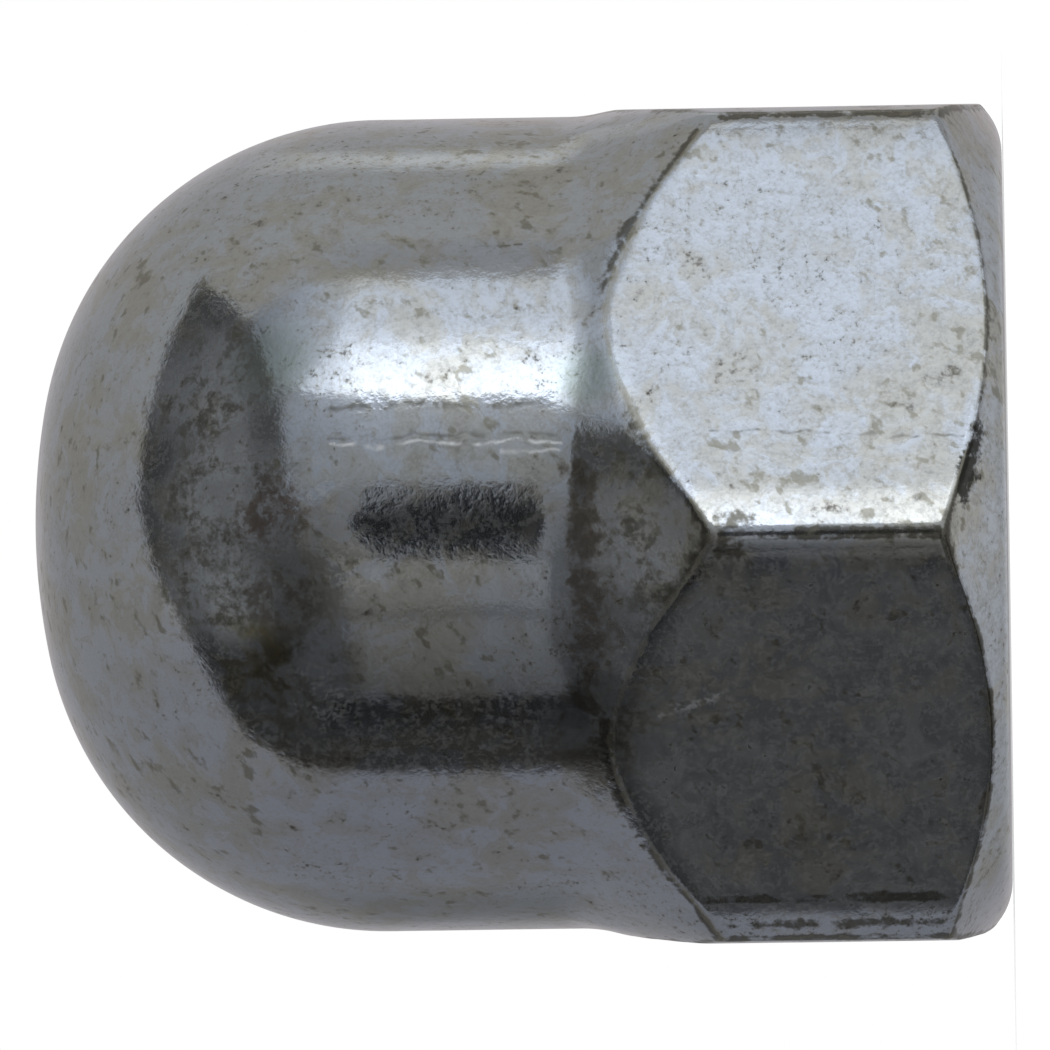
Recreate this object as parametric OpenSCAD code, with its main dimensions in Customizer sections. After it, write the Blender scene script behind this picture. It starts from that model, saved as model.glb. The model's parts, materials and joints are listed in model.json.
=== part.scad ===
// Domed cap nut (acorn nut), high form, cold formed from one piece of steel.
// It stands on its bearing face at z = 0, with the dome up and the blind thread opening downwards.
// Two of its flats face +X and -X, and two of its corners point along +Y and -Y.
// The helical thread itself is not cut here: the hole has the thread's crest (minor) diameter.

/* [Hexagon] */
// Width across the flats
across_flats = 13; // [12.4:0.1:16]
// Radius of the six upright corners
corner_r = 0.4; // [0.1:0.05:0.8]
// Height at which the cone over the hexagon meets the round cap
shoulder_h = 6.2; // [5:0.05:7]
// Slope of that cone, in degrees from the axis
cone_angle = 30; // [24:1:50]
// Radius of the hollow where the cone runs into the cap
fillet_r = 2.2; // [0.4:0.1:2.6]

/* [Bearing end] */
// Diameter of the flat ring that bears on the work
bearing_d = 11.5; // [10.4:0.1:12]
// Radius that rounds the bearing ring's outer edge
edge_r = 1; // [0.2:0.1:1.2]
// Slope of the chamfer across the six corners, in degrees from the axis
chamfer_angle = 53; // [40:1:65]

/* [Cap] */
// Diameter of the round cap
cap_d = 12.8; // [12:0.05:13]
// Height of the whole nut
total_h = 15.3; // [14.6:0.1:18]
// Radius of the crown at the top of the dome
crown_r = 10.5; // [8:0.1:14]
// Radius that turns the crown down into the cap's straight side
turn_r = 5.4; // [3.6:0.1:6]

/* [Threaded hole] */
// Nominal diameter of the thread
thread_d = 8; // [6:0.5:9]
// Pitch of the thread
pitch = 1.25; // [0.5:0.05:1.5]
// Depth of the hole's straight wall, measured from the bearing face
hole_depth = 11; // [8:0.1:11.6]
// How far the countersink stands out past the thread, on the radius
countersink_margin = 0.15; // [0:0.05:0.5]
// Full angle of the countersink at the hole's mouth
countersink_angle = 90; // [60:5:120]
// Full angle of the cone at the bottom of the hole
tip_angle = 120; // [110:2:150]

/* [Hidden] */

$fn = 96;
eps = 0.01;

flat_r = across_flats / 2;                      // from the axis to a flat
corner_reach = (flat_r - corner_r) / cos(30);   // from the axis to a corner rounding's centre
clear_r = flat_r / cos(30) + 1;                 // a radius outside the whole hexagon
bearing_r = bearing_d / 2;
cap_r = cap_d / 2;

// Where the bearing edge's rounding hands over to the chamfer
chamfer_start_r = bearing_r + edge_r * cos(chamfer_angle);
chamfer_start_h = edge_r * (1 - sin(chamfer_angle));
chamfer_end_h = chamfer_start_h + (clear_r - chamfer_start_r) / tan(chamfer_angle);

// The cone's outer end, and the hollow that joins it to the cap
cone_end_h = shoulder_h - (clear_r - cap_r) / tan(cone_angle);
fillet_run = fillet_r * tan(cone_angle / 2);

// The dome: a crown arc that runs into a tighter arc, and that one into the cap's side
crown_h = total_h - crown_r;
turn_offset = cap_r - turn_r;
turn_h = crown_h + sqrt(pow(crown_r - turn_r, 2) - pow(turn_offset, 2));
turn_angle = atan2(turn_offset, turn_h - crown_h);

// ISO metric thread: the crests of a nut's thread stand 5/8 of the sharp profile in
thread_crest_r = thread_d / 2 - 5 / 8 * pitch * cos(30);
mouth_r = thread_d / 2 + countersink_margin;
countersink_h = (mouth_r - thread_crest_r) / tan(countersink_angle / 2);
tip_h = thread_crest_r / tan(tip_angle / 2);

// A pie slice of a circle at the origin, from one direction to another, less than 180 degrees
module slice(r, from, to) {
    reach = 2 * r / cos((to - from) / 2);
    intersection() {
        circle(r = r);
        polygon([[0, 0], [reach * cos(from), reach * sin(from)], [reach * cos(to), reach * sin(to)]]);
    }
}

// Plan of the hexagon: two flats face +X and -X, and each corner is a true arc
module hexagon_plan() {
    corners = [for (i = [0 : 5]) 30 + 60 * i];
    polygon([for (a = corners, side = [-30, 30])
        corner_reach * [cos(a), sin(a)] + corner_r * [cos(a + side), sin(a + side)]]);
    for (a = corners)
        translate(corner_reach * [cos(a), sin(a)])
            rotate(a) circle(r = corner_r);
}

// Half section of the turned form that trims the hexagon and carries the dome
module turned_section() {
    // bearing face, chamfer, room for the hexagon, and the cone over it
    polygon([
        [0, 0],
        [bearing_r, 0],
        [bearing_r, edge_r],
        [chamfer_start_r, chamfer_start_h],
        [clear_r, chamfer_end_h],
        [clear_r, cone_end_h],
        [cap_r, shoulder_h],
        [0, shoulder_h]
    ]);
    translate([bearing_r, edge_r]) slice(edge_r, -90, -chamfer_angle);
    // hollow between the cone and the cap
    difference() {
        polygon([
            [cap_r, shoulder_h + fillet_run],
            [cap_r, shoulder_h],
            [cap_r + fillet_run * sin(cone_angle), shoulder_h - fillet_run * cos(cone_angle)],
            [cap_r + fillet_r, shoulder_h + fillet_run]
        ]);
        translate([cap_r + fillet_r, shoulder_h + fillet_run]) circle(r = fillet_r);
    }
    // straight side and dome
    square([cap_r, turn_h]);
    translate([turn_offset, turn_h]) slice(turn_r, 0, 90 - turn_angle);
    translate([0, crown_h]) slice(crown_r, 90 - turn_angle, 90);
}

// The blind hole: countersink, straight wall at the thread's crests, and a cone at the bottom
module blind_hole() {
    rotate_extrude()
        polygon([
            [0, -eps],
            [mouth_r, -eps],
            [mouth_r, 0],
            [thread_crest_r, countersink_h],
            [thread_crest_r, hole_depth],
            [0, hole_depth + tip_h]
        ]);
}

module cap_nut() {
    color([0.66, 0.68, 0.69])
    difference() {
        union() {
            intersection() {
                linear_extrude(shoulder_h) hexagon_plan();
                rotate_extrude() turned_section();
            }
            rotate_extrude()
                intersection() {
                    turned_section();
                    translate([0, shoulder_h - eps]) square([clear_r, total_h]);
                }
        }
        blind_hole();
    }
}

cap_nut();
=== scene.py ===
# %% [markdown]
# # A domed cap nut in zinc plate
# A cap nut closes the end of a screw: below it is a hexagon for the spanner, above it a round cap with
# a dome, and inside a blind threaded hole. It is pressed from one piece of steel, so it is one mesh here
# too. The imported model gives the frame, and everything below is built around it, in metres.

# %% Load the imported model
import json
from math import atan2, ceil, cos, hypot, pi, radians, sin, sqrt, tan

import bmesh
import bpy
from mathutils import Matrix, Vector


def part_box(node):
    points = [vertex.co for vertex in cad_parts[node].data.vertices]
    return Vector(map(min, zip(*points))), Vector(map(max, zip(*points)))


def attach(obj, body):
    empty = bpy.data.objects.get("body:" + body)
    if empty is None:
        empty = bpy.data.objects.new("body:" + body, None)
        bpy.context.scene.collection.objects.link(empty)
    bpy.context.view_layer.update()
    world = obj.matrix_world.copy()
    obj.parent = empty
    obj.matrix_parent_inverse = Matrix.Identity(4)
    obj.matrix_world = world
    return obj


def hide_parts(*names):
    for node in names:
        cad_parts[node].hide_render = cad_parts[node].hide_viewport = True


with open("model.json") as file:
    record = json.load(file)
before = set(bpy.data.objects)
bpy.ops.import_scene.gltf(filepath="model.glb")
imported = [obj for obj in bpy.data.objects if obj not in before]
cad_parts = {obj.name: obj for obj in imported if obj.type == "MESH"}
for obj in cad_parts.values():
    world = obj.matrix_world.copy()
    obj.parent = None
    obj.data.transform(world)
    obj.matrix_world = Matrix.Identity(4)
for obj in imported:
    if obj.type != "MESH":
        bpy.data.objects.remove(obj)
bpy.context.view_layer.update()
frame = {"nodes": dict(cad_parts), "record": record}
print("packed nodes:", sorted(frame["nodes"]))

# %% [markdown]
# ## Sizes
# The height, the width across the flats and the thread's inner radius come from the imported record. The
# other sizes are the ones the solid was drawn with, repeated here in millimetres, because a nut's
# drawing is in millimetres. The mesh is worked out in millimetres too and turned to metres at the end.

# %% Sizes, in millimetres
MM = 0.001
mounts = {mount["name"]: mount for mount in frame["record"]["mounts"]}

total_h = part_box("cap_nut")[1].z / MM
flat_r = mounts["spanner_flat_plus_x"]["pos_m"][0] / MM
crest_r = mounts["thread"]["dims"]["r_mm"]

# the hexagon's corners, the cone over them, and the hollow where the cone runs into the cap
corner_r = 0.4
shoulder_h = 6.2
cone_angle = radians(30)
cone_slope = tan(cone_angle)
fillet_r = 2.2

# the bearing end: the flat ring, its rounded edge and the chamfer
bearing_r = 5.75
edge_r = 1.0
chamfer_angle = radians(53)
chamfer_slope = tan(chamfer_angle)

# the cap, the crown of its dome, and the tighter arc that turns the crown down
cap_r = 6.4
crown_r = 10.5
turn_r = 5.4

# the thread, the countersink and the hole
major_r = 4.0
pitch = 1.25
mouth_r = 4.15
thread_end = 9.6
runout = 1.1
hole_depth = 11.0
tip_slope = tan(radians(60))
print(f"nut {total_h:.1f} mm high, {2 * flat_r:.1f} mm across flats, thread M{2 * major_r:.0f} x {pitch}")

# %% [markdown]
# ## Arithmetic on sockets
# Blender's nodes are a chain of little sums. Written out one node at a time they hide the formula, so
# `Value` wraps a socket and lets Python's own operators add the Math nodes: `1 - mask` is a node.
# `Tree.node` makes any other node from its type, its settings and what goes into its sockets. The nut's
# shape and its finish are both written with these two classes.

# %% Socket arithmetic
class Value:
    """An output socket; arithmetic on it adds Math nodes to its tree."""

    def __init__(self, tree, socket):
        self.tree = tree
        self.socket = socket

    def __add__(self, other):
        return self.tree.math("ADD", self, other)

    def __sub__(self, other):
        return self.tree.math("SUBTRACT", self, other)

    def __rsub__(self, other):
        return self.tree.math("SUBTRACT", other, self)

    def __mul__(self, other):
        return self.tree.math("MULTIPLY", self, other)

    def __truediv__(self, other):
        return self.tree.math("DIVIDE", self, other)

    def __rtruediv__(self, other):
        return self.tree.math("DIVIDE", other, self)

    def __pow__(self, other):
        return self.tree.math("POWER", self, other)

    def __mod__(self, other):
        return self.tree.math("FLOORED_MODULO", self, other)

    def __abs__(self):
        return self.tree.math("ABSOLUTE", self)

    __radd__ = __add__
    __rmul__ = __mul__

    def at_least(self, low):
        return self.tree.math("MAXIMUM", self, low)

    def at_most(self, high):
        return self.tree.math("MINIMUM", self, high)

    def step(self, low, high):
        """0 below low, 1 above high, and a smooth ramp between them; low may be the larger one."""
        settings = {"interpolation_type": "SMOOTHSTEP"}
        return self.tree.node("ShaderNodeMapRange", settings, {0: self, 1: low, 2: high})

    def band(self, low, full_from, full_to, high):
        """1 between the middle two of four values, 0 outside the outer two."""
        return self.step(low, full_from) * self.step(high, full_to)


# %% [markdown]
# Colours and vectors need nodes of their own, because a Math node turns a colour grey. `blend` lays one
# colour over another, `vector` works on places, and `measure` gets a number from two of them. The rest
# are the handful of forms that come back again and again: the largest of several masks, a mask round a
# point, and noise.

# %% A tree that takes nodes as calls
class Tree:
    """A shader or geometry tree that takes nodes as Python calls."""

    def __init__(self, tree):
        self.tree = tree

    def node(self, kind, settings=None, inputs=None, output=0):
        made = self.tree.nodes.new(kind)
        for name, setting in (settings or {}).items():
            setattr(made, name, setting)
        for name, value in (inputs or {}).items():
            if isinstance(value, Value):
                self.tree.links.new(value.socket, made.inputs[name])
            else:
                made.inputs[name].default_value = value
        return Value(self, made.outputs[output]) if made.outputs else made

    def math(self, operation, *values):
        return self.node("ShaderNodeMath", {"operation": operation}, dict(enumerate(values)))

    def vector(self, operation, *values, **named):
        inputs = dict(enumerate(values)) | named
        return self.node("ShaderNodeVectorMath", {"operation": operation}, inputs)

    def measure(self, operation, *vectors):
        """A number from two vectors, such as their distance."""
        inputs = dict(enumerate(vectors))
        return self.node("ShaderNodeVectorMath", {"operation": operation}, inputs, "Value")

    def scaled(self, vector, amount):
        return self.vector("SCALE", vector, Scale=amount)

    def mix(self, share, first, second):
        """A number between two others."""
        return first + (second - first) * share

    def blend(self, share, first, second):
        """A colour between two others."""
        inputs = {0: share, 6: first, 7: second}
        return self.node("ShaderNodeMix", {"data_type": "RGBA"}, inputs, output=2)

    def largest(self, first, *others):
        for other in others:
            first = first.at_least(other)
        return first

    def near(self, place, point, radius, core=0.3):
        """1 round a point, out to a core share of the radius, falling to 0 at the radius."""
        return self.measure("DISTANCE", place, point).step(radius, radius * core)

    def noise(self, place, scale, detail=2.0, roughness=0.5, distortion=0.0, output=0):
        inputs = {"Vector": place, "Scale": scale, "Detail": detail}
        inputs |= {"Roughness": roughness, "Distortion": distortion}
        return self.node("ShaderNodeTexNoise", {}, inputs, output)


# %% [markdown]
# ## The profile
# A lathe cuts a round part from one line, its profile. A nut needs two: the turned line (dome, cap,
# cone, chamfer, hole) and the hexagon that trims it. So the profile here is a list of rows from the top
# of the dome, down the outside, under the bearing face and up the hole. Each row carries what the
# geometry tree needs to place it round the nut: its radius and height, how far it leans with the
# hexagon, how softly the hexagon's ridge is rounded there, and whether it climbs with the thread.

# %% Rows of the profile
rows = []


def row(radius, height, lean=0.0, soft=0.0, follows=0.0, helix=0.0, hollow=0.0, worn=1.0):
    """One ring of the mesh. lean is the height gained for each millimetre the hexagon stands out. Where
    follows is 1, the radius comes from the form that the tree works out, and not from the row."""
    rows.append(
        {"radius": radius, "height": height, "lean": lean, "soft": soft, "follows": follows,
         "helix": helix, "hollow": hollow, "worn": worn}
    )


def steps(count, first=0):
    """Fractions from 0 to 1, leaving out the ones before first."""
    return [i / count for i in range(first, count + 1)]


crown_h = total_h - crown_r
turn_offset = cap_r - turn_r
turn_h = crown_h + sqrt((crown_r - turn_r) ** 2 - turn_offset**2)
turn_angle = atan2(turn_offset, turn_h - crown_h)

crown_rows, turn_rows = 14, 50
for t in steps(crown_rows):
    away = turn_angle * t
    row(crown_r * sin(away), crown_h + crown_r * cos(away))
for t in steps(turn_rows, first=1):
    away = turn_angle + (pi / 2 - turn_angle) * t
    row(turn_offset + turn_r * sin(away), turn_h + turn_r * cos(away))
print("rows on the dome:", len(rows))

# %% [markdown]
# The ridge between the cone and the hexagon curves over each flat, lowest at the corners. If the rows
# were level rings, that curve would cut across them in steps. So the rows lean: each gets a share of
# the ridge's own slope, and one row lies on the ridge, or just beside it in the middle of a flat, with
# its neighbours close by to carry the rounding. The lower ridge, the heel, is done the same way.

# %% Where the ridges lie, and how they lean
fillet_run = fillet_r * tan(cone_angle / 2)
fillet_top = shoulder_h + fillet_run
ridge_h = shoulder_h - (flat_r - cap_r) / cone_slope
ridge_lean = -1 / cone_slope
ridge_soft = 0.06

chamfer_start_r = bearing_r + edge_r * cos(chamfer_angle)
chamfer_start_h = edge_r * (1 - sin(chamfer_angle))
heel_h = chamfer_start_h + (flat_r - chamfer_start_r) / chamfer_slope
heel_lean = 1 / chamfer_slope
heel_soft = 0.10
print(f"ridge {ridge_h:.2f} mm up on the flats, heel {heel_h:.2f} mm up")

# %% Rows between the cap and the bearing face
above_ridge = [0.26, 0.17, 0.10, 0.06, 0.03, 0.012]
around = above_ridge + [0.0] + [-offset for offset in reversed(above_ridge)]
side_rows, hollow_rows, flat_rows, chamfer_rows, edge_rows = 14, 24, 36, 8, 8

# the rows begin to lean this far above the hollow
over_hollow = 0.45
side_foot = fillet_top + over_hollow
for t in steps(side_rows, first=1):
    row(cap_r, turn_h + (side_foot - turn_h) * t, hollow=1.0)
hollow_foot = ridge_h + around[0]
for t in steps(hollow_rows, first=1):
    row(0.0, side_foot + (hollow_foot - side_foot) * t, ridge_lean * t, ridge_soft, 1.0, hollow=1.0)
for offset in around[1:]:
    row(0.0, ridge_h + offset, ridge_lean, ridge_soft, 1.0, hollow=1.0)
flat_top = ridge_h + around[-1]
flat_foot = heel_h + around[0]
for t in steps(flat_rows, first=1):
    lean = ridge_lean + (heel_lean - ridge_lean) * t
    soft = ridge_soft + (heel_soft - ridge_soft) * t
    row(0.0, flat_top + (flat_foot - flat_top) * t, lean, soft, 1.0)

# rows that would come nearer than this to the chamfer's foot are left out
least_gap = 0.01
for offset in around[1:]:
    if heel_h + offset > chamfer_start_h + least_gap:
        row(0.0, heel_h + offset, heel_lean, heel_soft, 1.0)
chamfer_top = rows[-1]["height"]
for t in steps(chamfer_rows, first=1):
    row_h = chamfer_top + (chamfer_start_h - chamfer_top) * t
    row(0.0, row_h, heel_lean * (1 - t), heel_soft, 1.0)
for t in steps(edge_rows, first=1):
    away = chamfer_angle + (pi / 2 - chamfer_angle) * t
    row(bearing_r + edge_r * cos(away), edge_r * (1 - sin(away)), worn=1 - t)
bearing_rings = (5.6, 5.1, 4.6, mouth_r)
for ring_r in bearing_rings:
    row(ring_r, 0.0, worn=0.0)
print("rows down to the hole's mouth:", len(rows))

# %% [markdown]
# Inside, the ISO metric thread: its flats are an eighth of the pitch at the bottom of the groove and a
# quarter at the crest, with 60 degrees between the flanks. One pitch takes eight rows, each corner
# being broken a little, as a tap leaves it. The rows climb one pitch a turn, and whatever would leave
# the thread at either end is held at its end, so the same rows also make the countersink and run-out.
# A screw modifier could wind a thread too, but it would have to be stitched to the hole at both ends.

# %% Rows up the thread and over the bottom of the hole
groove = major_r - crest_r
broken = 0.03
flank_share = 5 / 16
flank_rise = groove * broken / flank_share
thread_section = [
    (broken, crest_r),
    (1 / 4 - broken, crest_r),
    (1 / 4 + broken, crest_r + flank_rise),
    (9 / 16 - broken, major_r - flank_rise),
    (9 / 16 + broken, major_r),
    (11 / 16 - broken, major_r),
    (11 / 16 + broken, major_r - flank_rise),
    (1 - broken, crest_r + flank_rise),
]
for turn in range(ceil(thread_end / pitch) + 1):
    for share, thread_r in thread_section:
        row(thread_r, (turn - 1 + share) * pitch, helix=1.0, worn=0.0)
row(crest_r, thread_end, worn=0.0)
row(crest_r, hole_depth, worn=0.0)
tip_rows = 6
for t in steps(tip_rows, first=1):
    row(crest_r * (1 - t), hole_depth + crest_r * t / tip_slope, worn=0.0)

columns = 360
print(f"{len(rows)} rows x {columns} columns, about {2 * len(rows) * columns} triangles")

# %% [markdown]
# The rows go into a small mesh, one point a row, with the row's values as named attributes. Geometry
# Nodes can read them by the row's number, and the sizes stay readable in the spreadsheet editor.

# %% The profile as points with attributes
profile_mesh = bpy.data.meshes.new("cap_nut_profile")
profile_mesh.from_pydata([(r["radius"], 0.0, r["height"]) for r in rows], [], [])
for name in rows[0]:
    attribute = profile_mesh.attributes.new(name, "FLOAT", "POINT")
    attribute.data.foreach_set("value", [r[name] for r in rows])
nut_source = bpy.data.objects.new("cap_nut_profile", profile_mesh)
bpy.context.scene.collection.objects.link(nut_source)
print("the profile carries", ", ".join(rows[0]))

# %% [markdown]
# ## The zinc plate
# Bright zinc over pressed steel is a cool grey mirror that has lost its edge. This nut has lain about: it
# has soft clouds where the passivation is thicker, tan veins, olive spots and dark pits, grime along the
# ridges, and patches where the plate has lifted. A painted dark line of shade runs along the hexagon's
# corners, and the hollow under the cap is darkened with grime and painted shade. The marks could be
# painted on an unwrapped mesh, but then they would be no finer than the image. So each mark is a mask,
# worked out from the place on the nut in millimetres. Fine masks are noise in the material. Slow ones
# follow the nut's
# form: the geometry tree further down works them out and stores them on the mesh, and the material reads
# them by name.

# %% Helpers for marks on the surface
class Finish(Tree):
    """A material's tree that knows its place on the nut and lays one mark after another over a colour."""

    def __init__(self, material, bare_colour):
        super().__init__(material.node_tree)
        self.colour = (*bare_colour, 1)
        self.place = self.scaled(self.node("ShaderNodeTexCoord", output="Object"), 1 / MM)
        shaky = self.noise(self.place, 1.8, 2.0, 0.6, output="Color")
        shift = self.scaled(self.vector("SUBTRACT", shaky, (0.5, 0.5, 0.5)), 0.35)
        self.wavering_place = self.vector("ADD", self.place, shift)

    def stored(self, name):
        """A mask that the geometry tree has stored on the mesh."""
        return self.node("ShaderNodeAttribute", {"attribute_name": name}, output="Fac")

    def mark(self, mask, colour):
        """Lay a colour over what is there, as strongly as the mask says."""
        self.colour = self.blend(mask, self.colour, (*colour, 1))

    def stretched(self, along, times):
        """The place with lengths along a direction divided, so that noise on it comes out in streaks."""
        along = Vector(along).normalized()
        share = self.measure("DOT_PRODUCT", self.place, along)
        return self.vector("SUBTRACT", self.place, self.scaled(tuple(along), share * (1 - 1 / times)))

    def scratch(self, start, end, width):
        """1 along a wavering line between two points on the surface, 0 at a distance of width from it."""
        start, end = Vector(start), Vector(end)
        line = end - start
        from_start = self.vector("SUBTRACT", self.wavering_place, tuple(start))
        share = self.measure("DOT_PRODUCT", from_start, line / line.length_squared)
        nearest = self.scaled(tuple(line), share.at_least(0.0).at_most(1.0))
        return self.measure("DISTANCE", from_start, nearest).step(width, 0.0)


# %% [markdown]
# Four sizes of noise serve every mark: clouds about 2 mm across, patches of 0.6 mm, grain of 0.15 mm and
# fine grain of 0.06 mm. Most of a noise's values lie near a half. So a step round a half cuts out patches,
# one higher up leaves single spots, and a vein is where the noise crosses it.

# %% Bare plate, with its clouds and its mottle
zinc = bpy.data.materials.new("zinc_plate")
zinc.use_nodes = True
plate = Finish(zinc, bare_colour=(0.575, 0.62, 0.69))
cloud = plate.noise(plate.place, 0.45, 2, 0.6)
patch = plate.noise(plate.place, 1.6, 3, 0.65, 0.6)
grain = plate.noise(plate.place, 6.5, 3, 0.65)
fine = plate.noise(plate.place, 17.0, 2, 0.6)
speck = grain * 0.55 + fine * 0.45

warm, dull = (0.56, 0.56, 0.53), (0.36, 0.365, 0.355)
plate.mark((cloud * 0.5 + patch * 0.5).step(0.46, 0.60), warm)
plate.mark(patch.step(0.42, 0.68) * 0.2 + speck.step(0.42, 0.64) * 0.45, dull)


def count_nodes(what):
    print("nodes up to the", what + ":", len(zinc.node_tree.nodes))


count_nodes("mottle")

# %% [markdown]
# Thin tan veins run where the passivation has crept, and olive-brown spots sit where it is thick. The
# dark pits keep to other places: the clouds are added to the spots before the step, and taken from the
# pits.

# %% Veins, spots and pits
tan_brown, olive_brown, pit_black = (0.36, 0.34, 0.27), (0.26, 0.25, 0.20), (0.09, 0.09, 0.08)
veins = abs(patch - 0.5).step(0.026, 0.0) * grain.step(0.35, 0.6)
plate.mark(veins * 0.4, tan_brown)
drawn_out = plate.noise(plate.stretched((-1.0, 0.0, -0.7), 1.5), 4.2, 3, 0.55)
brown_spots = (drawn_out + (cloud - 0.5) * 0.4).step(0.60, 0.72)
plate.mark(brown_spots * 0.75, olive_brown)
pits = (speck + (cloud - 0.5) * -0.35).step(0.61, 0.70)
plate.mark(pits * 0.7, pit_black)
count_nodes("pits")

# %% [markdown]
# Grime stays where a cloth doesn't reach: beside the ridges. With it goes a painted dark line of shade
# along the hexagon's corners, and the hollow under the cap is darkened with grime and painted shade. A
# brown streak in the hollow is stain and painted shade, the chamfer is scuffed dark below one corner, and
# the crest of each ridge is rubbed to a dull tan line. These masks come from the mesh, and all of them are
# broken up by one ragged sum of patch and grain: added before the step, it moves a mark's edge instead of
# thinning it.

# %% Grime, painted shade and wear
ragged = (grain - 0.5) * 1.2 + (patch - 0.5) * 2.2
# The stored mask is real grime beside the ridges plus a painted dark line of shade along the hexagon's
# corners.
stored_grime_and_corner_shade = plate.stored("grime_and_corner_shade")
ridge_grime_and_corner_shade = (stored_grime_and_corner_shade * 0.8 + ragged).step(0.40, 0.85)
plate.mark(ridge_grime_and_corner_shade * 0.85, (0.11, 0.105, 0.085))
# Grime and painted shade: the hollow under the cap is darkened, more in front.
hollow_grime_and_shade = (plate.stored("hollow") * 0.9 + ragged).step(0.40, 1.1)
plate.mark(hollow_grime_and_shade * 0.45, (0.19, 0.155, 0.12))
# The brown streak in the hollow is stain and painted shade.
brown_streak_and_shade = (plate.stored("streak") * 0.9 + ragged * 1.1).step(0.35, 1.0)
plate.mark(brown_streak_and_shade * 0.6, (0.15, 0.12, 0.10))
scuffed = (plate.stored("scuffed") + ragged * 0.9 + (fine - 0.5) * 0.8).step(0.35, 0.95)
plate.mark(scuffed * 0.92, (0.03, 0.03, 0.027))
rubbed_crest = (plate.stored("crest") + ragged * 0.7).step(0.45, 0.9)
plate.mark(rubbed_crest * 0.5, (0.40, 0.38, 0.30))
count_nodes("rubbed crests")

# %% [markdown]
# Round the dome the plate is stained with rust and olive, and with a trace of green. It has also lifted
# there, and between cap and hexagon: where it has, it is crumbly, with dark blotches and specks.

# %% Stains and lifted plate
thickness = (patch - 0.5) * 2.2 + 0.5
rust = (plate.stored("rust") * thickness).step(0.10, 0.7) * grain.step(0.40, 0.56)
plate.mark(rust * 0.6, (0.21, 0.115, 0.085))
olive = (plate.stored("olive") * thickness * 0.9).step(0.15, 0.7)
plate.mark(olive * 0.7, (0.33, 0.29, 0.12))
plate.mark(plate.stored("green") * 0.45, (0.33, 0.42, 0.36))

crumbly = (plate.stored("lifted") * 0.8 + (cloud - 0.5) * 1.2 + (patch - 0.5)).step(0.2, 0.9)
blotches = (patch * 0.6 + grain * 0.4).step(0.46, 0.58) * 0.4 + speck.step(0.46, 0.56) * 0.45
plate.mark(blotches * crumbly.at_least(plate.stored("sooty")), pit_black)
count_nodes("blotches")

# %% [markdown]
# A scratch is the distance to a line between two points. The line is measured from a place that wavers
# with a slow noise, so it isn't ruled, and most scratches are multiplied by grain, so they come and go.
# Some shine, where bare metal shows, and some are dull and dark with what has settled in them.

# %% Scratches
shiny = plate.largest(
    plate.scratch((1.42, -6.22, 10.35), (1.43, -6.24, 6.85), 0.06) * grain.step(0.30, 0.5),
    plate.scratch((1.27, -6.27, 7.7), (1.28, -6.27, 6.9), 0.06) * 0.7,
    plate.scratch((-2.81, -5.88, 5.36), (-2.51, -6.06, 4.4), 0.16) * speck.step(0.41, 0.57) * 0.42,
)
dark_line = plate.largest(
    plate.scratch((1.54, -6.19, 10.4), (1.56, -6.20, 6.9), 0.06) * 0.7,
    plate.scratch((4.46, -4.59, 9.1), (4.42, -4.64, 7.2), 0.05) * grain.step(0.40, 0.5),
    plate.scratch((1.59, -6.59, 4.7), (1.43, -6.68, 0.7), 0.05) * 0.9,
    plate.scratch((2.02, -6.07, 10.5), (2.05, -6.07, 6.9), 0.09) * patch.step(0.44, 0.50),
)
plate.mark(dark_line * 0.75, (0.15, 0.145, 0.12))
plate.mark(shiny * 0.8, (0.80, 0.82, 0.84))
count_nodes("scratches")

# %% [markdown]
# The same masks feed the rest of the material, so that a pit is dark and dull at the same place. A thin
# oxide film is no metal: a few hundredths off Metallic lift the darkest reflections to a grey, in patches
# and specks. A bump a few thousandths of a millimetre high gives the reflections their ragged edges.

# %% Roughness, oxide film and relief
hazy = (patch * 0.5 + grain * 0.5).step(0.46, 0.62)
roughness = plate.stored("flat") * 0.03 + hazy * 0.05 + 0.085
roughness = roughness + ridge_grime_and_corner_shade * 0.06 + brown_spots * 0.10 + pits * 0.12
roughness = roughness + hollow_grime_and_shade * 0.08 + rubbed_crest * 0.22

film = plate.stored("flat") * (patch.step(0.38, 0.62) * 0.05 + 0.03) + crumbly * 0.13 + 0.006
film = film + speck.step(0.48, 0.58) * (crumbly * 0.08 + 0.07)
chips = plate.stored("chipped") * speck.step(0.46, 0.60)
metallic = 1 - (film + chips * 0.14).at_least(shiny * 0.5)

relief = patch * 0.0045 + grain * 0.002 + fine * 0.0008 + (grain - 0.5) * stored_grime_and_corner_shade * 0.003
bump = plate.node("ShaderNodeBump", {}, {"Strength": 1.0, "Distance": MM, "Height": relief})

surface = zinc.node_tree.nodes["Principled BSDF"]
feeds = {"Base Color": plate.colour, "Metallic": metallic, "Roughness": roughness, "Normal": bump}
for name, value in feeds.items():
    zinc.node_tree.links.new(value.socket, surface.inputs[name])
count_nodes("relief")

# %% [markdown]
# ## The geometry tree
# One grid of rows and columns is bent into the whole nut. Each point finds its row's values, works out
# its angle and how far the hexagon reaches there, and takes the smaller of the turned radius and the
# hexagon's. A boolean cut of two solids would give the same form, but with slivers along the cut and no
# say in how its ridge is rounded. The columns crowd towards the corners, where the form turns quickest.

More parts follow.
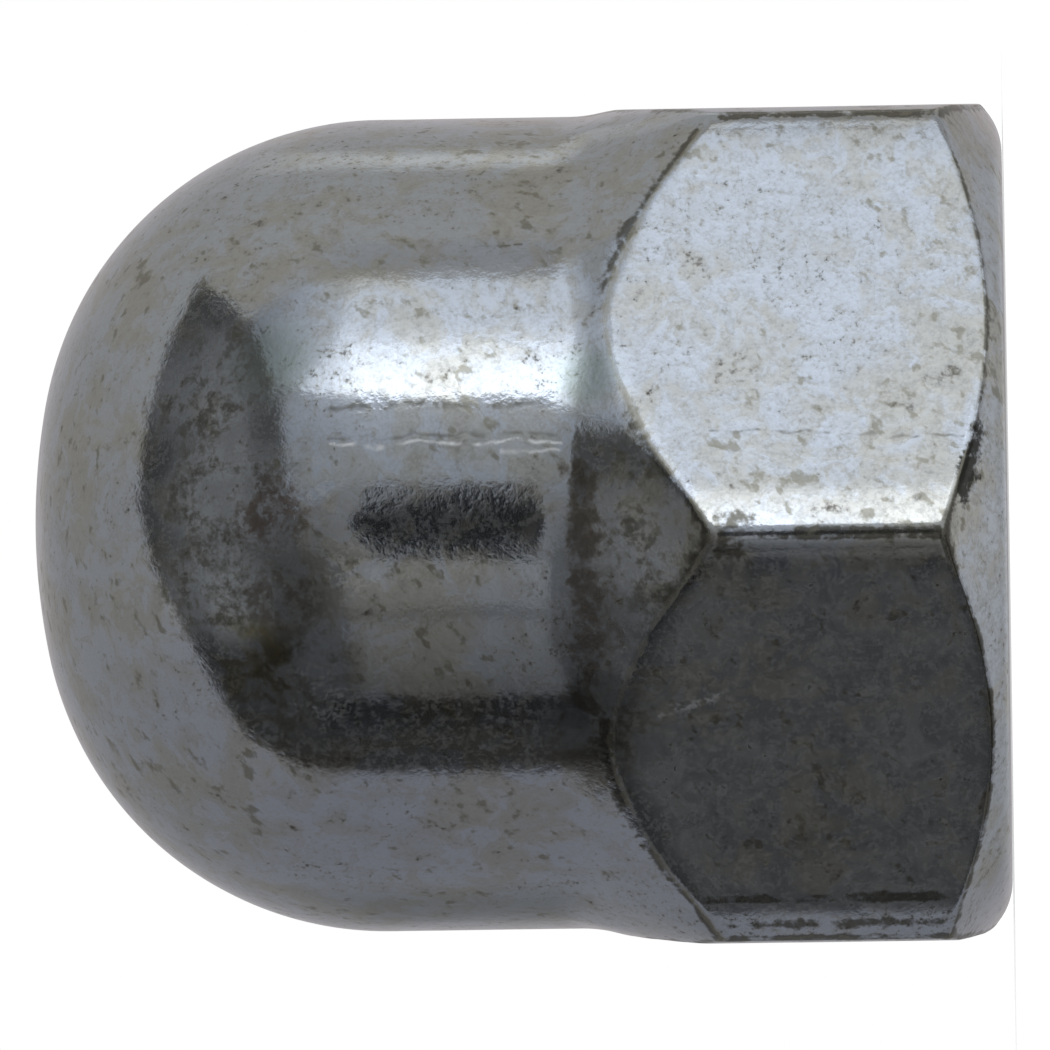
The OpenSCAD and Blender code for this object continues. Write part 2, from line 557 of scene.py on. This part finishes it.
# %% Inputs of the tree
group = bpy.data.node_groups.new("nut_from_profile", "GeometryNodeTree")
group.interface.new_socket("Geometry", in_out="INPUT", socket_type="NodeSocketGeometry")
group.interface.new_socket("Geometry", in_out="OUTPUT", socket_type="NodeSocketGeometry")
given_sizes = {
    "Columns": columns,
    "Flat Radius": flat_r,
    "Corner Radius": corner_r,
    "Corner Roll-off": 0.06,
    "Cap Radius": cap_r,
    "Fillet Radius": fillet_r,
    "Hollow Rise": 0.4,
    "Pitch": pitch,
    "Thread End": thread_end,
    "Forging Waves": 0.012,
    "Seed": 7.0,
}
for name, size in given_sizes.items():
    kind = "NodeSocketInt" if isinstance(size, int) else "NodeSocketFloat"
    group.interface.new_socket(name, in_out="INPUT", socket_type=kind)
tree = Tree(group)
group_input = group.nodes.new("NodeGroupInput")


def given(name):
    return Value(tree, group_input.outputs[name])


# %% The grid, and each point's row and angle
profile = given("Geometry")
row_count = tree.node(
    "GeometryNodeAttributeDomainSize", {"component": "MESH"}, {"Geometry": profile}, "Point Count"
)
grid = tree.node(
    "GeometryNodeMeshGrid", {}, {"Vertices X": given("Columns") + 1, "Vertices Y": row_count}, "Mesh"
)
number = tree.node("GeometryNodeInputIndex")
row_number = number % row_count
turned = tree.math("FLOOR", (number + 0.5) / row_count) / given("Columns")


def from_row(name):
    """The value of this point's row."""
    field = tree.node("GeometryNodeInputNamedAttribute", {"data_type": "FLOAT"}, {"Name": name})
    inputs = {"Geometry": profile, "Value": field, "Index": row_number}
    return tree.node("GeometryNodeSampleIndex", {"data_type": "FLOAT"}, inputs)


crowding = 0.07
corner_angle = pi / 6
angle = turned * (2 * pi) + tree.math("SINE", turned * (12 * pi)) * crowding
sector = abs((angle + corner_angle) % (2 * corner_angle) - corner_angle)

# %% [markdown]
# `sector` is the angle from the middle of the nearest flat, 30 degrees at a corner. The hexagon in polar
# form: on a flat the reach is `flat_r / cos`, and in a corner it is the far side of the corner's small
# circle. Pressed flats also roll off a little before the corner, which is what draws a bright or dark
# line along a nut's edges.

# %% How far the hexagon reaches
flat_reach = given("Flat Radius") / tree.math("COSINE", sector)
to_corner = corner_angle - sector
corner_centre = (given("Flat Radius") - given("Corner Radius")) / cos(corner_angle)
aside = corner_centre * tree.math("SINE", to_corner)
within = (given("Corner Radius") ** 2 - aside**2).at_least(0.0)
corner_reach = corner_centre * tree.math("COSINE", to_corner) + tree.math("SQRT", within)
flat_share = (1 - given("Corner Radius") / given("Flat Radius")) * tan(corner_angle)
in_corner = tree.math("GREATER_THAN", sector, tree.math("ARCTANGENT", flat_share))
sharp_hexagon = tree.mix(in_corner, flat_reach, corner_reach)

roll_width = 0.7
flat_half = (given("Flat Radius") - given("Corner Radius")) * tan(corner_angle)
along_flat = (given("Flat Radius") * tree.math("TANGENT", sector)).at_most(flat_half)
rolled = (along_flat - (flat_half - roll_width)).at_least(0.0) / roll_width
hexagon = sharp_hexagon - rolled**2 * given("Corner Roll-off")
stands_out = sharp_hexagon - given("Flat Radius")

# %% [markdown]
# A point's height is its row's, plus the row's lean where the hexagon stands out, plus the climb of the
# thread. The thread's rows are held between the mouth and the thread's end.

# %% Height of each point
climb = from_row("helix") * (given("Pitch") / (2 * pi)) * angle
level = from_row("height") + from_row("lean") * stands_out + climb
held = level.at_least(0.0).at_most(given("Thread End"))
height = tree.mix(from_row("helix"), level, held)

# %% [markdown]
# The turned radius follows from the height. The ridge lies where the cone of the drawing, or the arc
# above it, meets the hexagon. The hollow's arc starts up to `Hollow Rise` higher at the corners than over
# the flats, as the pressed metal has flowed there, so the cone's slant isn't fixed: it is the line from
# the ridge that just touches the hollow's circle. The chamfer below is a straight line.

# %% Turned radius of each point
hollow_r = given("Fillet Radius")
gain = sharp_hexagon - given("Cap Radius")
arc_gain = fillet_r * (1 - cos(cone_angle))
on_arc = fillet_top - tree.math("SQRT", (hollow_r**2 - (hollow_r - gain) ** 2).at_least(0.0))
on_cone = shoulder_h - gain / cone_slope
ridge_level = tree.mix(tree.math("GREATER_THAN", gain, arc_gain), on_arc, on_cone)

rise_from, rise_to = radians(4), radians(18)
hollow_top = sector.step(rise_from, rise_to) * given("Hollow Rise") + fillet_top
across_hollow = hollow_r - gain
down_hollow = hollow_top - ridge_level
to_centre = tree.math("SQRT", across_hollow**2 + down_hollow**2)
centre_angle = tree.math("ARCTAN2", across_hollow, down_hollow)
slant = tree.math("ARCSINE", (hollow_r / to_centre).at_most(1.0)) - centre_angle

arc_drop = hollow_r * tree.math("SINE", slant)
in_arc = (hollow_top - height).at_least(0.0).at_most(arc_drop)
arc = hollow_r - tree.math("SQRT", hollow_r**2 - in_arc**2)
cone = (hollow_top - arc_drop - height).at_least(0.0) * tree.math("TANGENT", slant)
upper = given("Cap Radius") + arc + cone
lower = (height - chamfer_start_h) * chamfer_slope + chamfer_start_r
lathe = tree.mix(from_row("follows"), from_row("radius"), upper.at_most(lower))

# %% [markdown]
# A plain minimum of the turned radius and the hexagon's would leave the ridge sharp. The smooth one takes
# `h * h * soft / 4` off as well, where `h` is 1 on the ridge and 0 where the two are `soft` apart, and
# `soft` wavers along the ridge. In the hole the radius is the thread's, which fades out over the run-out
# and opens into the countersink.

# %% Radius of each point
round_flats = {0: tree.math("COSINE", angle) * flat_r, 1: tree.math("SINE", angle) * flat_r, 2: height}
seed_shift = tree.node("ShaderNodeCombineXYZ", {}, {2: given("Seed") * 10})
seeded = tree.vector("ADD", tree.node("ShaderNodeCombineXYZ", {}, round_flats), seed_shift)
soft = from_row("soft") * (tree.noise(seeded, 1.5, 3, 0.6) * 1.6 + 0.2)
least_soft = 0.0001
ridge = (1 - abs(lathe - hexagon) / soft.at_least(least_soft)).at_least(0.0)
trimmed = lathe.at_most(hexagon) - ridge**2 * soft / 4
outer = tree.mix(tree.math("GREATER_THAN", from_row("soft"), 0.0), lathe, trimmed)

fades = (given("Thread End") - height).at_least(0.0) * (groove / runout) + crest_r
thread = from_row("radius").at_most(fades).at_least(mouth_r - height)
radius = tree.mix(from_row("helix"), outer, thread)

ring = {0: tree.math("COSINE", angle) * radius, 1: tree.math("SINE", angle) * radius, 2: height}
position = tree.node("ShaderNodeCombineXYZ", {}, ring)
bent = tree.node("GeometryNodeSetPosition", {}, {"Geometry": grid, "Position": position})

# %% [markdown]
# ## Marks that follow the form
# Grime lies beside a ridge and wear on it, and the tree knows where the ridge is: `trimmed_off` is how
# much the lathe trims off the hexagon, 0 on the ridge, more on the cone and the chamfer, and below 0 on a
# flat. A painted dark line of shade along the hexagon's corners goes in with the grime. The other marks
# are spots round a few places on the outside. Each mark is a number from 0 to 1.

# %% Measures for the marks
trimmed_off = (hexagon - lathe) * from_row("follows") + (1 - from_row("follows"))
on_flat = trimmed_off.step(0.0, -0.1)
on_outside = tree.node("GeometryNodeInputPosition")


def towards_corner(start, full):
    """1 on a flat past an angle from its middle, in degrees, 0 before another."""
    return sector.step(radians(start), radians(full)) * on_flat


def stripe(*degrees):
    """An upright stripe on a flat, given by four angles from the flat's middle."""
    return sector.band(*[radians(degree) for degree in degrees]) * on_flat


def spot(x, y, z, radius, strength=1.0):
    return tree.near(on_outside, (x, y, z), radius) * strength


def spots(*places):
    """The strongest of several spots, each (x, y, z, radius) and, if it is faint, its strength."""
    return tree.largest(*[spot(*place) for place in places])


# %% Grime, painted shade and wear at the ridges
# A painted dark line of shade on each flat along the hexagon's corners; it is stored with the grime.
corner_edge = towards_corner(28.6, 29.5)
beside_any_ridge = trimmed_off.step(0.10, 0.03)
beside_heel = trimmed_off.step(0.18, 0.06) * height.step(3.0, 2.2)
rubbed_clean = 1 - spots((-1.7, -6.4, 5.4, 1.9), (2.9, -5.9, 5.9, 1.7)) * 0.85
marks = {
    "grime_and_corner_shade": tree.largest(
        beside_any_ridge.at_least(beside_heel) * trimmed_off.step(-0.02, 0.015) * rubbed_clean,
        corner_edge,
        towards_corner(26.0, 28.0) * spot(0.1, -7.3, 4.3, 1.0),
        tree.largest(stripe(26.6, 27.2, 28.0, 28.6), stripe(22.9, 23.6, 24.2, 24.8))
        * spots((-5.9, -3.9, 3.7, 1.8), (-5.9, -3.9, 1.8, 1.6)),
    ),
    "crest": tree.largest(abs(trimmed_off).step(0.04, 0.0), corner_edge * 0.4),
    "flat": trimmed_off.step(-0.02, -0.15),
}

# %% [markdown]
# The hollow under the cap is darkened with grime and painted shade, a little all round and more in front.
# The rows' own `hollow` keeps that mark to the turned part over the hexagon, and a band of heights keeps
# it to the hollow. The streak along the hollow is a brown stain and painted shade.

# %% The hollow and the chamfer
# Grime and painted shade in the hollow under the cap, more in front.
under_cap = from_row("hollow") * height.band(5.0, 6.3, 6.5, 7.0) * trimmed_off.step(-0.02, 0.05)
marks["hollow"] = under_cap * (spot(-1.3, -6.3, 6.3, 3.2) * 0.8 + 0.2)
along_hollow = from_row("hollow") * height.band(6.1, 6.35, 6.6, 6.95)
# The streak: brown stain and painted shade along the hollow.
marks["streak"] = along_hollow * spots((0.2, -6.5, 6.5, 1.7), (-1.4, -6.4, 6.5, 1.7))
marks["scuffed"] = spots(
    (1.52, -6.49, 0.44, 0.30), (1.20, -6.65, 0.51, 0.34),
    (0.86, -6.82, 0.59, 0.36), (0.55, -6.93, 0.65, 0.28),
)
marks["worn"] = from_row("worn")

# %% Stains and lifted plate, and storing all the marks
on_cone_side = trimmed_off.step(-0.05, 0.02)
marks["lifted"] = tree.largest(
    spots((2.3, -5.3, 12.2, 1.9), (0.7, -5.9, 12.0, 2.0), (-0.7, -5.7, 12.1, 1.6)),
    spot(0.4, -6.4, 8.4, 2.0, 0.3),
    spot(-0.8, -6.5, 6.0, 2.4) * on_cone_side * 0.9,
)
marks["sooty"] = spots((-2.1, -5.8, 10.9, 1.4), (-0.9, -6.2, 11.0, 1.0, 0.8), (-2.9, -5.6, 6.3, 1.3))
marks["rust"] = spots((0.45, -6.16, 11.3, 1.0), (-0.9, -6.1, 11.2, 0.9, 0.7))
marks["olive"] = spot(-1.9, -5.75, 11.65, 1.1)
marks["green"] = spots((2.75, -5.6, 11.25, 0.9), (2.4, -5.9, 6.4, 0.7))
marks["chipped"] = spots((0.85, -6.3, 10.45, 0.7), (-0.5, -6.35, 10.0, 0.7), (-2.4, -5.8, 10.6, 0.8))

marked = bent
for name, mask in marks.items():
    settings = {"data_type": "FLOAT", "domain": "POINT"}
    inputs = {"Geometry": marked, "Name": name, "Value": mask}
    marked = tree.node("GeometryNodeStoreNamedAttribute", settings, inputs)
print("marks on the mesh:", ", ".join(marks))

# %% [markdown]
# Merging by distance closes the seam and the two poles. Last, a slow noise pulls the outside in by up to
# about a hundredth of a millimetre, as pressing and tumbling leave it. It only pulls inwards, so the nut
# never grows past its drawing, and the rows' `worn` keeps it off the bearing face and the hole.

# %% Close and finish the mesh
seam_gap = 0.0002
noise_place = (0.0, 0.0, 31.0)
closed = tree.node("GeometryNodeMergeByDistance", {}, {"Geometry": marked, "Distance": seam_gap})
at = tree.vector("ADD", tree.node("GeometryNodeInputPosition"), noise_place)
pulls = tree.node("GeometryNodeInputNamedAttribute", {"data_type": "FLOAT"}, {"Name": "worn"})
waves = tree.noise(at, 0.45, 2, 0.5) * given("Forging Waves") * pulls
inward = tree.scaled(tree.node("GeometryNodeInputNormal"), waves)
pressed = tree.node("GeometryNodeSetPosition", {}, {"Geometry": closed, "Offset": inward})
metres = tree.node("GeometryNodeTransform", {}, {"Geometry": pressed, "Scale": (MM, MM, MM)})
smooth = tree.node("GeometryNodeSetShadeSmooth", {}, {"Geometry": metres})
whole = tree.node("GeometryNodeRealizeInstances", {}, {"Geometry": smooth})
finished = tree.node("GeometryNodeSetMaterial", {}, {"Geometry": whole, "Material": zinc})
group.links.new(finished.socket, group.nodes.new("NodeGroupOutput").inputs[0])
print("the geometry tree has", len(group.nodes), "nodes")

# %% [markdown]
# The modifier's inputs are set by their identifiers before anything is evaluated. Then the evaluated
# mesh is copied into a plain object of its own, and the profile with its modifier is removed.

# %% Evaluate the tree to a plain mesh
maker = nut_source.modifiers.new("make_nut", "NODES")
maker.node_group = group
for item in group.interface.items_tree:
    if item.in_out == "INPUT" and item.name in given_sizes:
        maker[item.identifier] = given_sizes[item.name]
evaluated = nut_source.evaluated_get(bpy.context.evaluated_depsgraph_get())
nut_mesh = bpy.data.meshes.new_from_object(evaluated)
nut_mesh.name = "cap_nut_plated"
bpy.data.objects.remove(nut_source)
nut = bpy.data.objects.new("cap_nut_plated", nut_mesh)
bpy.context.scene.collection.objects.link(nut)

# %% [markdown]
# A mesh that is to be weighed has to be closed, with its faces outwards. Doubles and slivers at the
# poles go first. The shading is smooth over the rounded ridges and sharp at the countersink's edge.

# %% Check the mesh, and turn its faces outwards
weld_distance, sliver_length = 2e-7, 1e-8
sharp_angle = radians(38)
steel_density = 7.85
nut_form = bmesh.new()
nut_form.from_mesh(nut_mesh)
bmesh.ops.remove_doubles(nut_form, verts=nut_form.verts, dist=weld_distance)
bmesh.ops.dissolve_degenerate(nut_form, edges=nut_form.edges, dist=sliver_length)
bmesh.ops.recalc_face_normals(nut_form, faces=nut_form.faces)
volume = nut_form.calc_volume(signed=True) / MM**3
open_edges = sum(not edge.is_manifold for edge in nut_form.edges)
nut_form.to_mesh(nut_mesh)
nut_form.free()
nut_mesh.set_sharp_from_angle(angle=sharp_angle)
triangles = sum(len(polygon.vertices) - 2 for polygon in nut_mesh.polygons)
print(f"volume {volume:.0f} mm3, open edges {open_edges}, {triangles} triangles")
print(f"steel at {steel_density} g/cm3 weighs {volume * steel_density / 1000:.1f} g")

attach(nut, "root")
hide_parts("cap_nut")

# %% [markdown]
# ## The camera
# The nut stands on its bearing face, and the camera lies on its side in front of one corner, so that in
# the picture the dome points left. It looks from just above the floor, through a lens of long focal
# length from a hand's length away, so that the nut's near and far edges look nearly the same size.

# %% Camera
aim = Vector((-0.016, -0.25, 7.585)) * MM
camera_distance = 215.86 * MM
camera_height = 0.5 * MM
azimuth = radians(1.726)
roll = radians(0.877)

level_distance = sqrt(camera_distance**2 - (camera_height - aim.z) ** 2)
eye_x, eye_y = aim.x + level_distance * sin(azimuth), aim.y - level_distance * cos(azimuth)
eye = Vector((eye_x, eye_y, camera_height))
back = (eye - aim).normalized()
down = Vector((0, 0, -1))
level_right = (down - back * down.dot(back)).normalized()
level_upright = back.cross(level_right)
right = level_right * cos(roll) - level_upright * sin(roll)
upright = level_upright * cos(roll) + level_right * sin(roll)

lens = bpy.data.cameras.new("camera")
lens.sensor_width = 36.0
lens.lens = 470.1
lens.clip_start = 0.01
lens.clip_end = 20.0
camera = bpy.data.objects.new("camera", lens)
camera.matrix_world = Matrix.Translation(eye) @ Matrix((right, upright, back)).transposed().to_4x4()
bpy.context.scene.collection.objects.link(camera)
bpy.context.scene.camera = camera
print("camera at", [round(c / MM, 2) for c in eye], "mm")

# %% [markdown]
# ## The studio
# Polished metal has hardly a colour of its own: it shows the room. So the room is built, as curved cards
# round the nut that only its reflections see: a light tent, a softbox, and the tent's dark opening with
# the camera in it. Directions are given the way one would walk round the tent: in degrees from the spot
# that the near side of the cap mirrors, left (towards the dome) and up.

# %% Directions in the tent
front = Vector((back.x, back.y, -back.z))
leftward = (Vector((0, 0, 1)) - front * front.z).normalized()
upward = leftward.cross(front)
nut_middle = Vector((0, 0, total_h / 2 * MM))


def direction(left, up):
    """The direction this many degrees to the left and up from the front."""
    away = hypot(left, up)
    if away == 0:
        return front.copy()
    sideways = (leftward * left + upward * up) / away
    return front * cos(radians(away)) + sideways * sin(radians(away))


def between(first, second, share):
    return [a + (b - a) * share for a, b in zip(first, second)]


# %% [markdown]
# One material serves every card: it glows with the colour stored on its points, and thins out where the
# stored cover falls to nothing, so a card can have a soft edge and run from one brightness to another.
# The cards light nothing. They are left out of the lamps' sampling and hidden from every ray but glossy
# ones, so that the nut's shadow and the floor come from the lamp and the world alone.

# %% The glow, and objects that only reflections see
glow = bpy.data.materials.new("studio_glow")
glow.use_nodes = True
glow.node_tree.nodes.clear()
glow_tree = Tree(glow.node_tree)
light_colour = glow_tree.node("ShaderNodeAttribute", {"attribute_name": "light"})
card_cover = glow_tree.node("ShaderNodeAttribute", {"attribute_name": "cover"}, output="Fac")
emission = glow_tree.node("ShaderNodeEmission", {}, {"Color": light_colour})
clear = glow_tree.node("ShaderNodeBsdfTransparent")
covered = glow_tree.node("ShaderNodeMixShader", {}, {0: card_cover, 1: clear, 2: emission})
glow_tree.node("ShaderNodeOutputMaterial", {}, {"Surface": covered})
glow.cycles.emission_sampling = "NONE"


def studio_piece(name, shape):
    """A finished bmesh becomes a stage object seen in reflections alone."""
    mesh = bpy.data.meshes.new(name)
    shape.to_mesh(mesh)
    shape.free()
    mesh.materials.append(glow)
    thing = bpy.data.objects.new(name, mesh)
    bpy.context.scene.collection.objects.link(thing)
    for ray in ("camera", "diffuse", "transmission", "volume_scatter", "shadow"):
        setattr(thing, "visible_" + ray, False)
    return thing


# %% [markdown]
# A card is given by its corners only. Each side is divided, and rings of points run from the middle out
# to the sides, so that the card follows the ball on which it hangs and its light blends smoothly. Cards
# that hang nearer the nut cover the ones behind them.

# %% Cards
points_a_side = 12
rings_a_card = 24


def card(name, corners, tint, distance, soft=0.02):
    """A curved card. Each corner is (left, up, brightness), and the light blends between them. soft is
    the share of the card, at its edge, over which it thins out."""
    middle = [sum(c) / len(corners) for c in zip(*corners)]
    outline = []
    for start, end in zip(corners, corners[1:] + corners[:1]):
        outline += [between(start, end, t) for t in steps(points_a_side)[:-1]]
    shape = bmesh.new()
    light = shape.verts.layers.float_color.new("light")
    cover = shape.verts.layers.float.new("cover")

    def point(where, shown):
        left, up, brightness = where
        vertex = shape.verts.new(nut_middle + direction(left, up) * distance)
        vertex[light] = (*[brightness * part for part in tint], 1)
        vertex[cover] = shown
        return vertex

    rings = []
    for share in steps(rings_a_card, first=1):
        shown = min(1.0, (1 - share) / soft)
        rings.append([point(between(middle, corner, share), shown) for corner in outline])
    centre = point(middle, 1.0)
    for i in range(len(outline)):
        j = (i + 1) % len(outline)
        shape.faces.new((centre, rings[0][i], rings[0][j]))
        for inner, outer in zip(rings, rings[1:]):
            shape.faces.new((inner[i], outer[i], outer[j], inner[j]))
    return studio_piece(name, shape)


# %% [markdown]
# The tent's opening is what the middle of the cap mirrors. It is dark and uneven: through it show the
# room and a table with a pale panel. Each hangs a little nearer the nut than what it hides.

# %% The tent's dark opening, and what is seen through it
neutral, cool_white, dusty = (1.0, 1.0, 1.0), (0.96, 1.0, 1.05), (1.0, 0.98, 0.92)
card(
    "tent_opening",
    [(3, -75, 0.03), (19, -74, 0.03), (33, -70, 0.03), (50, -59, 0.03), (59, -43, 0.03),
     (69, -26, 0.04), (80, -9, 0.05), (86, 8, 0.06), (85, 22, 0.05), (82, 37, 0.05), (76, 58, 0.06),
     (68, 77, 0.07), (42, 60, 0.07), (30, 50, 0.20), (-30, 50, 0.3), (-80, 5, 0.25),
     (-95, -30, 0.04), (-95, -70, 0.04), (-60, -75, 0.04)],
    dusty, 0.60, soft=0.03,
)
card(
    "room_beyond",
    [(40, -38, 0.12), (54, -36, 0.16), (64, -12, 0.13), (67, 5, 0.12), (62, 32, 0.09),
     (60, 60, 0.12), (46, 56, 0.12), (40, 30, 0.17), (38, 5, 0.14), (37, -12, 0.10)],
    dusty, 0.59, soft=0.35,
)
card(
    "under_table",
    [(20, -60, 0.03), (20, -49, 0.01), (-20, -49, 0.01), (-20, -60, 0.03)],
    neutral, 0.58, soft=0.2,
)
card(
    "table_end",
    [(26, -48, 0.05), (24, -8, 0.08), (2, -8, 0.16), (2, -48, 0.06)],
    neutral, 0.575, soft=0.12,
)
card(
    "table_panel",
    [(9, -50, 0.06), (9, -9, 0.22), (-15, -9, 0.42), (-15, -50, 0.14)],
    neutral, 0.57, soft=0.06,
)
card(
    "table_gap",
    [(13, -27, 0.10), (13, -23, 0.12), (-14, -23, 0.16), (-14, -27, 0.16)],
    neutral, 0.565, soft=0.5,
)

# %% [markdown]
# The softbox is the brightest thing about, and it shows as the long bright band along the cap. It is
# brightest in front of its tube, and dimmer towards its ends and its frame. A grey panel hangs under it.

# %% The softbox
card(
    "grey_panel",
    [(24, 2, 0.18), (28, 10, 0.26), (30, 27, 0.32), (32, 37, 0.38), (0, 38, 0.62), (-90, 37, 1.0),
     (-92, 6, 0.40), (0, 5, 0.30)],
    cool_white, 0.56, soft=0.06,
)
card(
    "softbox_end",
    [(0, 36, 1.10), (24, 37, 0.56), (34, 37, 0.28), (39, 52, 0.22), (45, 61, 0.20), (31, 70, 0.36),
     (14, 74, 0.60), (0, 74, 0.76)],
    cool_white, 0.55, soft=0.10,
)
card(
    "softbox",
    [(9, 36, 1.4), (12, 52, 1.25), (10, 60, 0.90), (9, 74, 0.80), (-98, 76, 0.50), (-96, 60, 0.8),
     (-96, 36, 0.9), (-40, 35, 1.0), (-20, 35, 1.5)],
    cool_white, 0.54, soft=0.06,
)
card(
    "softbox_tube",
    [(6, 36, 2.2), (7, 52, 1.45), (-20, 52, 1.45), (-22, 36, 2.2)],
    cool_white, 0.53, soft=0.07,
)
card(
    "softbox_frame",
    [(28, 75, 0.31), (28, 88, 0.36), (-95, 88, 0.36), (-95, 75, 0.31)],
    neutral, 0.61, soft=0.5,
)
card(
    "tube_end",
    [(26, 38, 0.7), (22, 43, 0.7), (12, 52, 1.1), (4, 52, 1.3), (4, 36, 2.1), (12, 36, 1.5)],
    cool_white, 0.535, soft=0.25,
)

# %% [markdown]
# The nut's upper and lower sides and its rims mirror what is far round: the ceiling's seam, the far floor
# and the end wall. The camera itself hangs in front of everything, as a black card in a grey frame.

# %% Far ends of the room, and the camera
card(
    "ceiling_seam",
    [(75, 118, 0.66), (75, 133, 0.72), (-75, 133, 0.74), (-75, 118, 0.74)],
    dusty, 0.62, soft=0.9,
)
card(
    "floor_far",
    [(60, -120, 0.19), (40, -155, 0.17), (-40, -155, 0.17), (-60, -120, 0.19)],
    neutral, 0.62, soft=0.8,
)
card(
    "end_wall",
    [(-106, -90, 0.32), (-100, 0, 0.58), (-106, 90, 0.46), (-150, 90, 0.46), (-160, 0, 0.66),
     (-150, -90, 0.36)],
    neutral, 0.63, soft=0.2,
)
card(
    "camera_frame",
    [(25, -7, 0.10), (24, 6, 0.18), (6, 12, 0.26), (-9, 12, 0.26), (-9, -10, 0.26), (6, -9, 0.20)],
    neutral, 0.52, soft=0.12,
)
card(
    "camera_front",
    [(0.5, -9.2, 0.016), (0.9, -6.8, 0.016), (2.4, -4.0, 0.016), (6.7, 0.3, 0.016), (4.4, 3.1, 0.016),
     (2.0, 4.4, 0.016), (0.5, 8.2, 0.016), (0.3, 11.0, 0.016), (-9, 10.8, 0.012), (-9, -9.8, 0.012)],
    neutral, 0.50,
)

# %% [markdown]
# Round them all hangs the tent's wall, a ball: dusty white above, a cooler grey below, and brightest
# behind the nut, where the background is. The nut's outline mirrors that, so it fades to a light rim.

# %% The tent's wall
grey_below, dusty_above = (0.225, 0.225, 0.24), (0.41, 0.40, 0.375)
behind_tint, behind_strength, behind_narrowness = (1.05, 0.92, 1.05), 0.3, 8
ball = bmesh.new()
bmesh.ops.create_uvsphere(ball, u_segments=96, v_segments=48, radius=0.9)
wall_light = ball.verts.layers.float_color.new("light")
wall_cover = ball.verts.layers.float.new("cover")
for vertex in ball.verts:
    outwards = vertex.co.normalized()
    high = (outwards.dot(upward) + 1) / 2
    behind = max(0.0, -outwards.dot(front)) ** behind_narrowness * behind_strength * high
    wall = between(grey_below, dusty_above, high)
    vertex[wall_light] = (*[part + behind * tint for part, tint in zip(wall, behind_tint)], 1)
    vertex[wall_cover] = 1.0
tent_wall = studio_piece("tent_wall", ball)
print("the tent's wall has", len(tent_wall.data.polygons), "faces")

# %% [markdown]
# ## Floor, world and lamp
# The floor is a pale sheet that takes the nut's soft shadow. It glows faintly by itself, so that the
# camera sees it as white as the world behind it. The nut's reflections leave it out, because the tent's
# wall stands in for it there. It is seen from above only: a view from below looks through it at the
# bearing face and the hole. It lies a little under the nut, so that the two never share a plane.

# %% Floor
floor_half = 3.0
floor_gap = 0.02 * MM
floor_mesh = bpy.data.meshes.new("floor")
corners = [(x * floor_half, y * floor_half, 0) for x, y in ((-1, -1), (1, -1), (1, 1), (-1, 1))]
floor_mesh.from_pydata(corners, [], [(0, 1, 2, 3)])
floor = bpy.data.objects.new("floor", floor_mesh)
floor.location.z = -floor_gap
bpy.context.scene.collection.objects.link(floor)


def seen_directly(tree):
    """1 for rays from the camera, off metal and through glass, 0 for light falling on things."""
    rays = tree.tree.nodes.new("ShaderNodeLightPath")
    kinds = ("Camera", "Glossy", "Transmission")
    return tree.largest(*[Value(tree, rays.outputs[f"Is {kind} Ray"]) for kind in kinds])


paper = bpy.data.materials.new("pale_paper")
paper.use_nodes = True
paper.node_tree.nodes.clear()
paper_tree = Tree(paper.node_tree)
paper_glow = 0.52
matt = paper_tree.node("ShaderNodeBsdfDiffuse", {}, {"Color": (0.62, 0.62, 0.62, 1)})
sheen = paper_tree.node("ShaderNodeEmission", {}, {"Strength": seen_directly(paper_tree) * paper_glow})
both = paper_tree.node("ShaderNodeAddShader", {}, {0: matt, 1: sheen})
from_below = paper_tree.node("ShaderNodeNewGeometry", output="Backfacing")
gone = paper_tree.node("ShaderNodeBsdfTransparent")
one_sided = paper_tree.node("ShaderNodeMixShader", {}, {0: from_below, 1: both, 2: gone})
paper_tree.node("ShaderNodeOutputMaterial", {}, {"Surface": one_sided})
floor_mesh.materials.append(paper)
floor.visible_glossy = False
print(f"floor {2 * floor_half:.0f} m wide, {floor_gap / MM:.2f} mm under the nut")

# %% [markdown]
# The world is plain white to the camera and in reflections, and a little dimmer as a lamp, so that the
# background is white without more light on the nut. One large soft lamp overhead gives the shadow a side.

# %% World and lamp
room_light = 0.8
world = bpy.data.worlds.new("white_room")
world.use_nodes = True
bpy.context.scene.world = world
world_tree = Tree(world.node_tree)
strength = seen_directly(world_tree) * (1 - room_light) + room_light
background = world.node_tree.nodes["Background"]
background.inputs["Color"].default_value = (1, 1, 1, 1)
world.node_tree.links.new(strength.socket, background.inputs["Strength"])

lamp_data = bpy.data.lights.new("overhead_lamp", "AREA")
lamp_data.shape = "DISK"
lamp_data.size = 0.30
lamp_data.energy = 0.35
overhead = bpy.data.objects.new("overhead_lamp", lamp_data)
overhead.location = (0.18, -0.10, 0.35)
overhead.rotation_euler = (nut_middle - overhead.location).to_track_quat("-Z", "Y").to_euler()
overhead.visible_glossy = False
bpy.context.scene.collection.objects.link(overhead)
print("lamp", round((overhead.location - nut_middle).length, 2), "m from the nut")

# %% [markdown]
# ## Colour
# Standard colour management keeps each colour as it is written.

# %% Colour management
bpy.context.scene.view_settings.view_transform = "Standard"
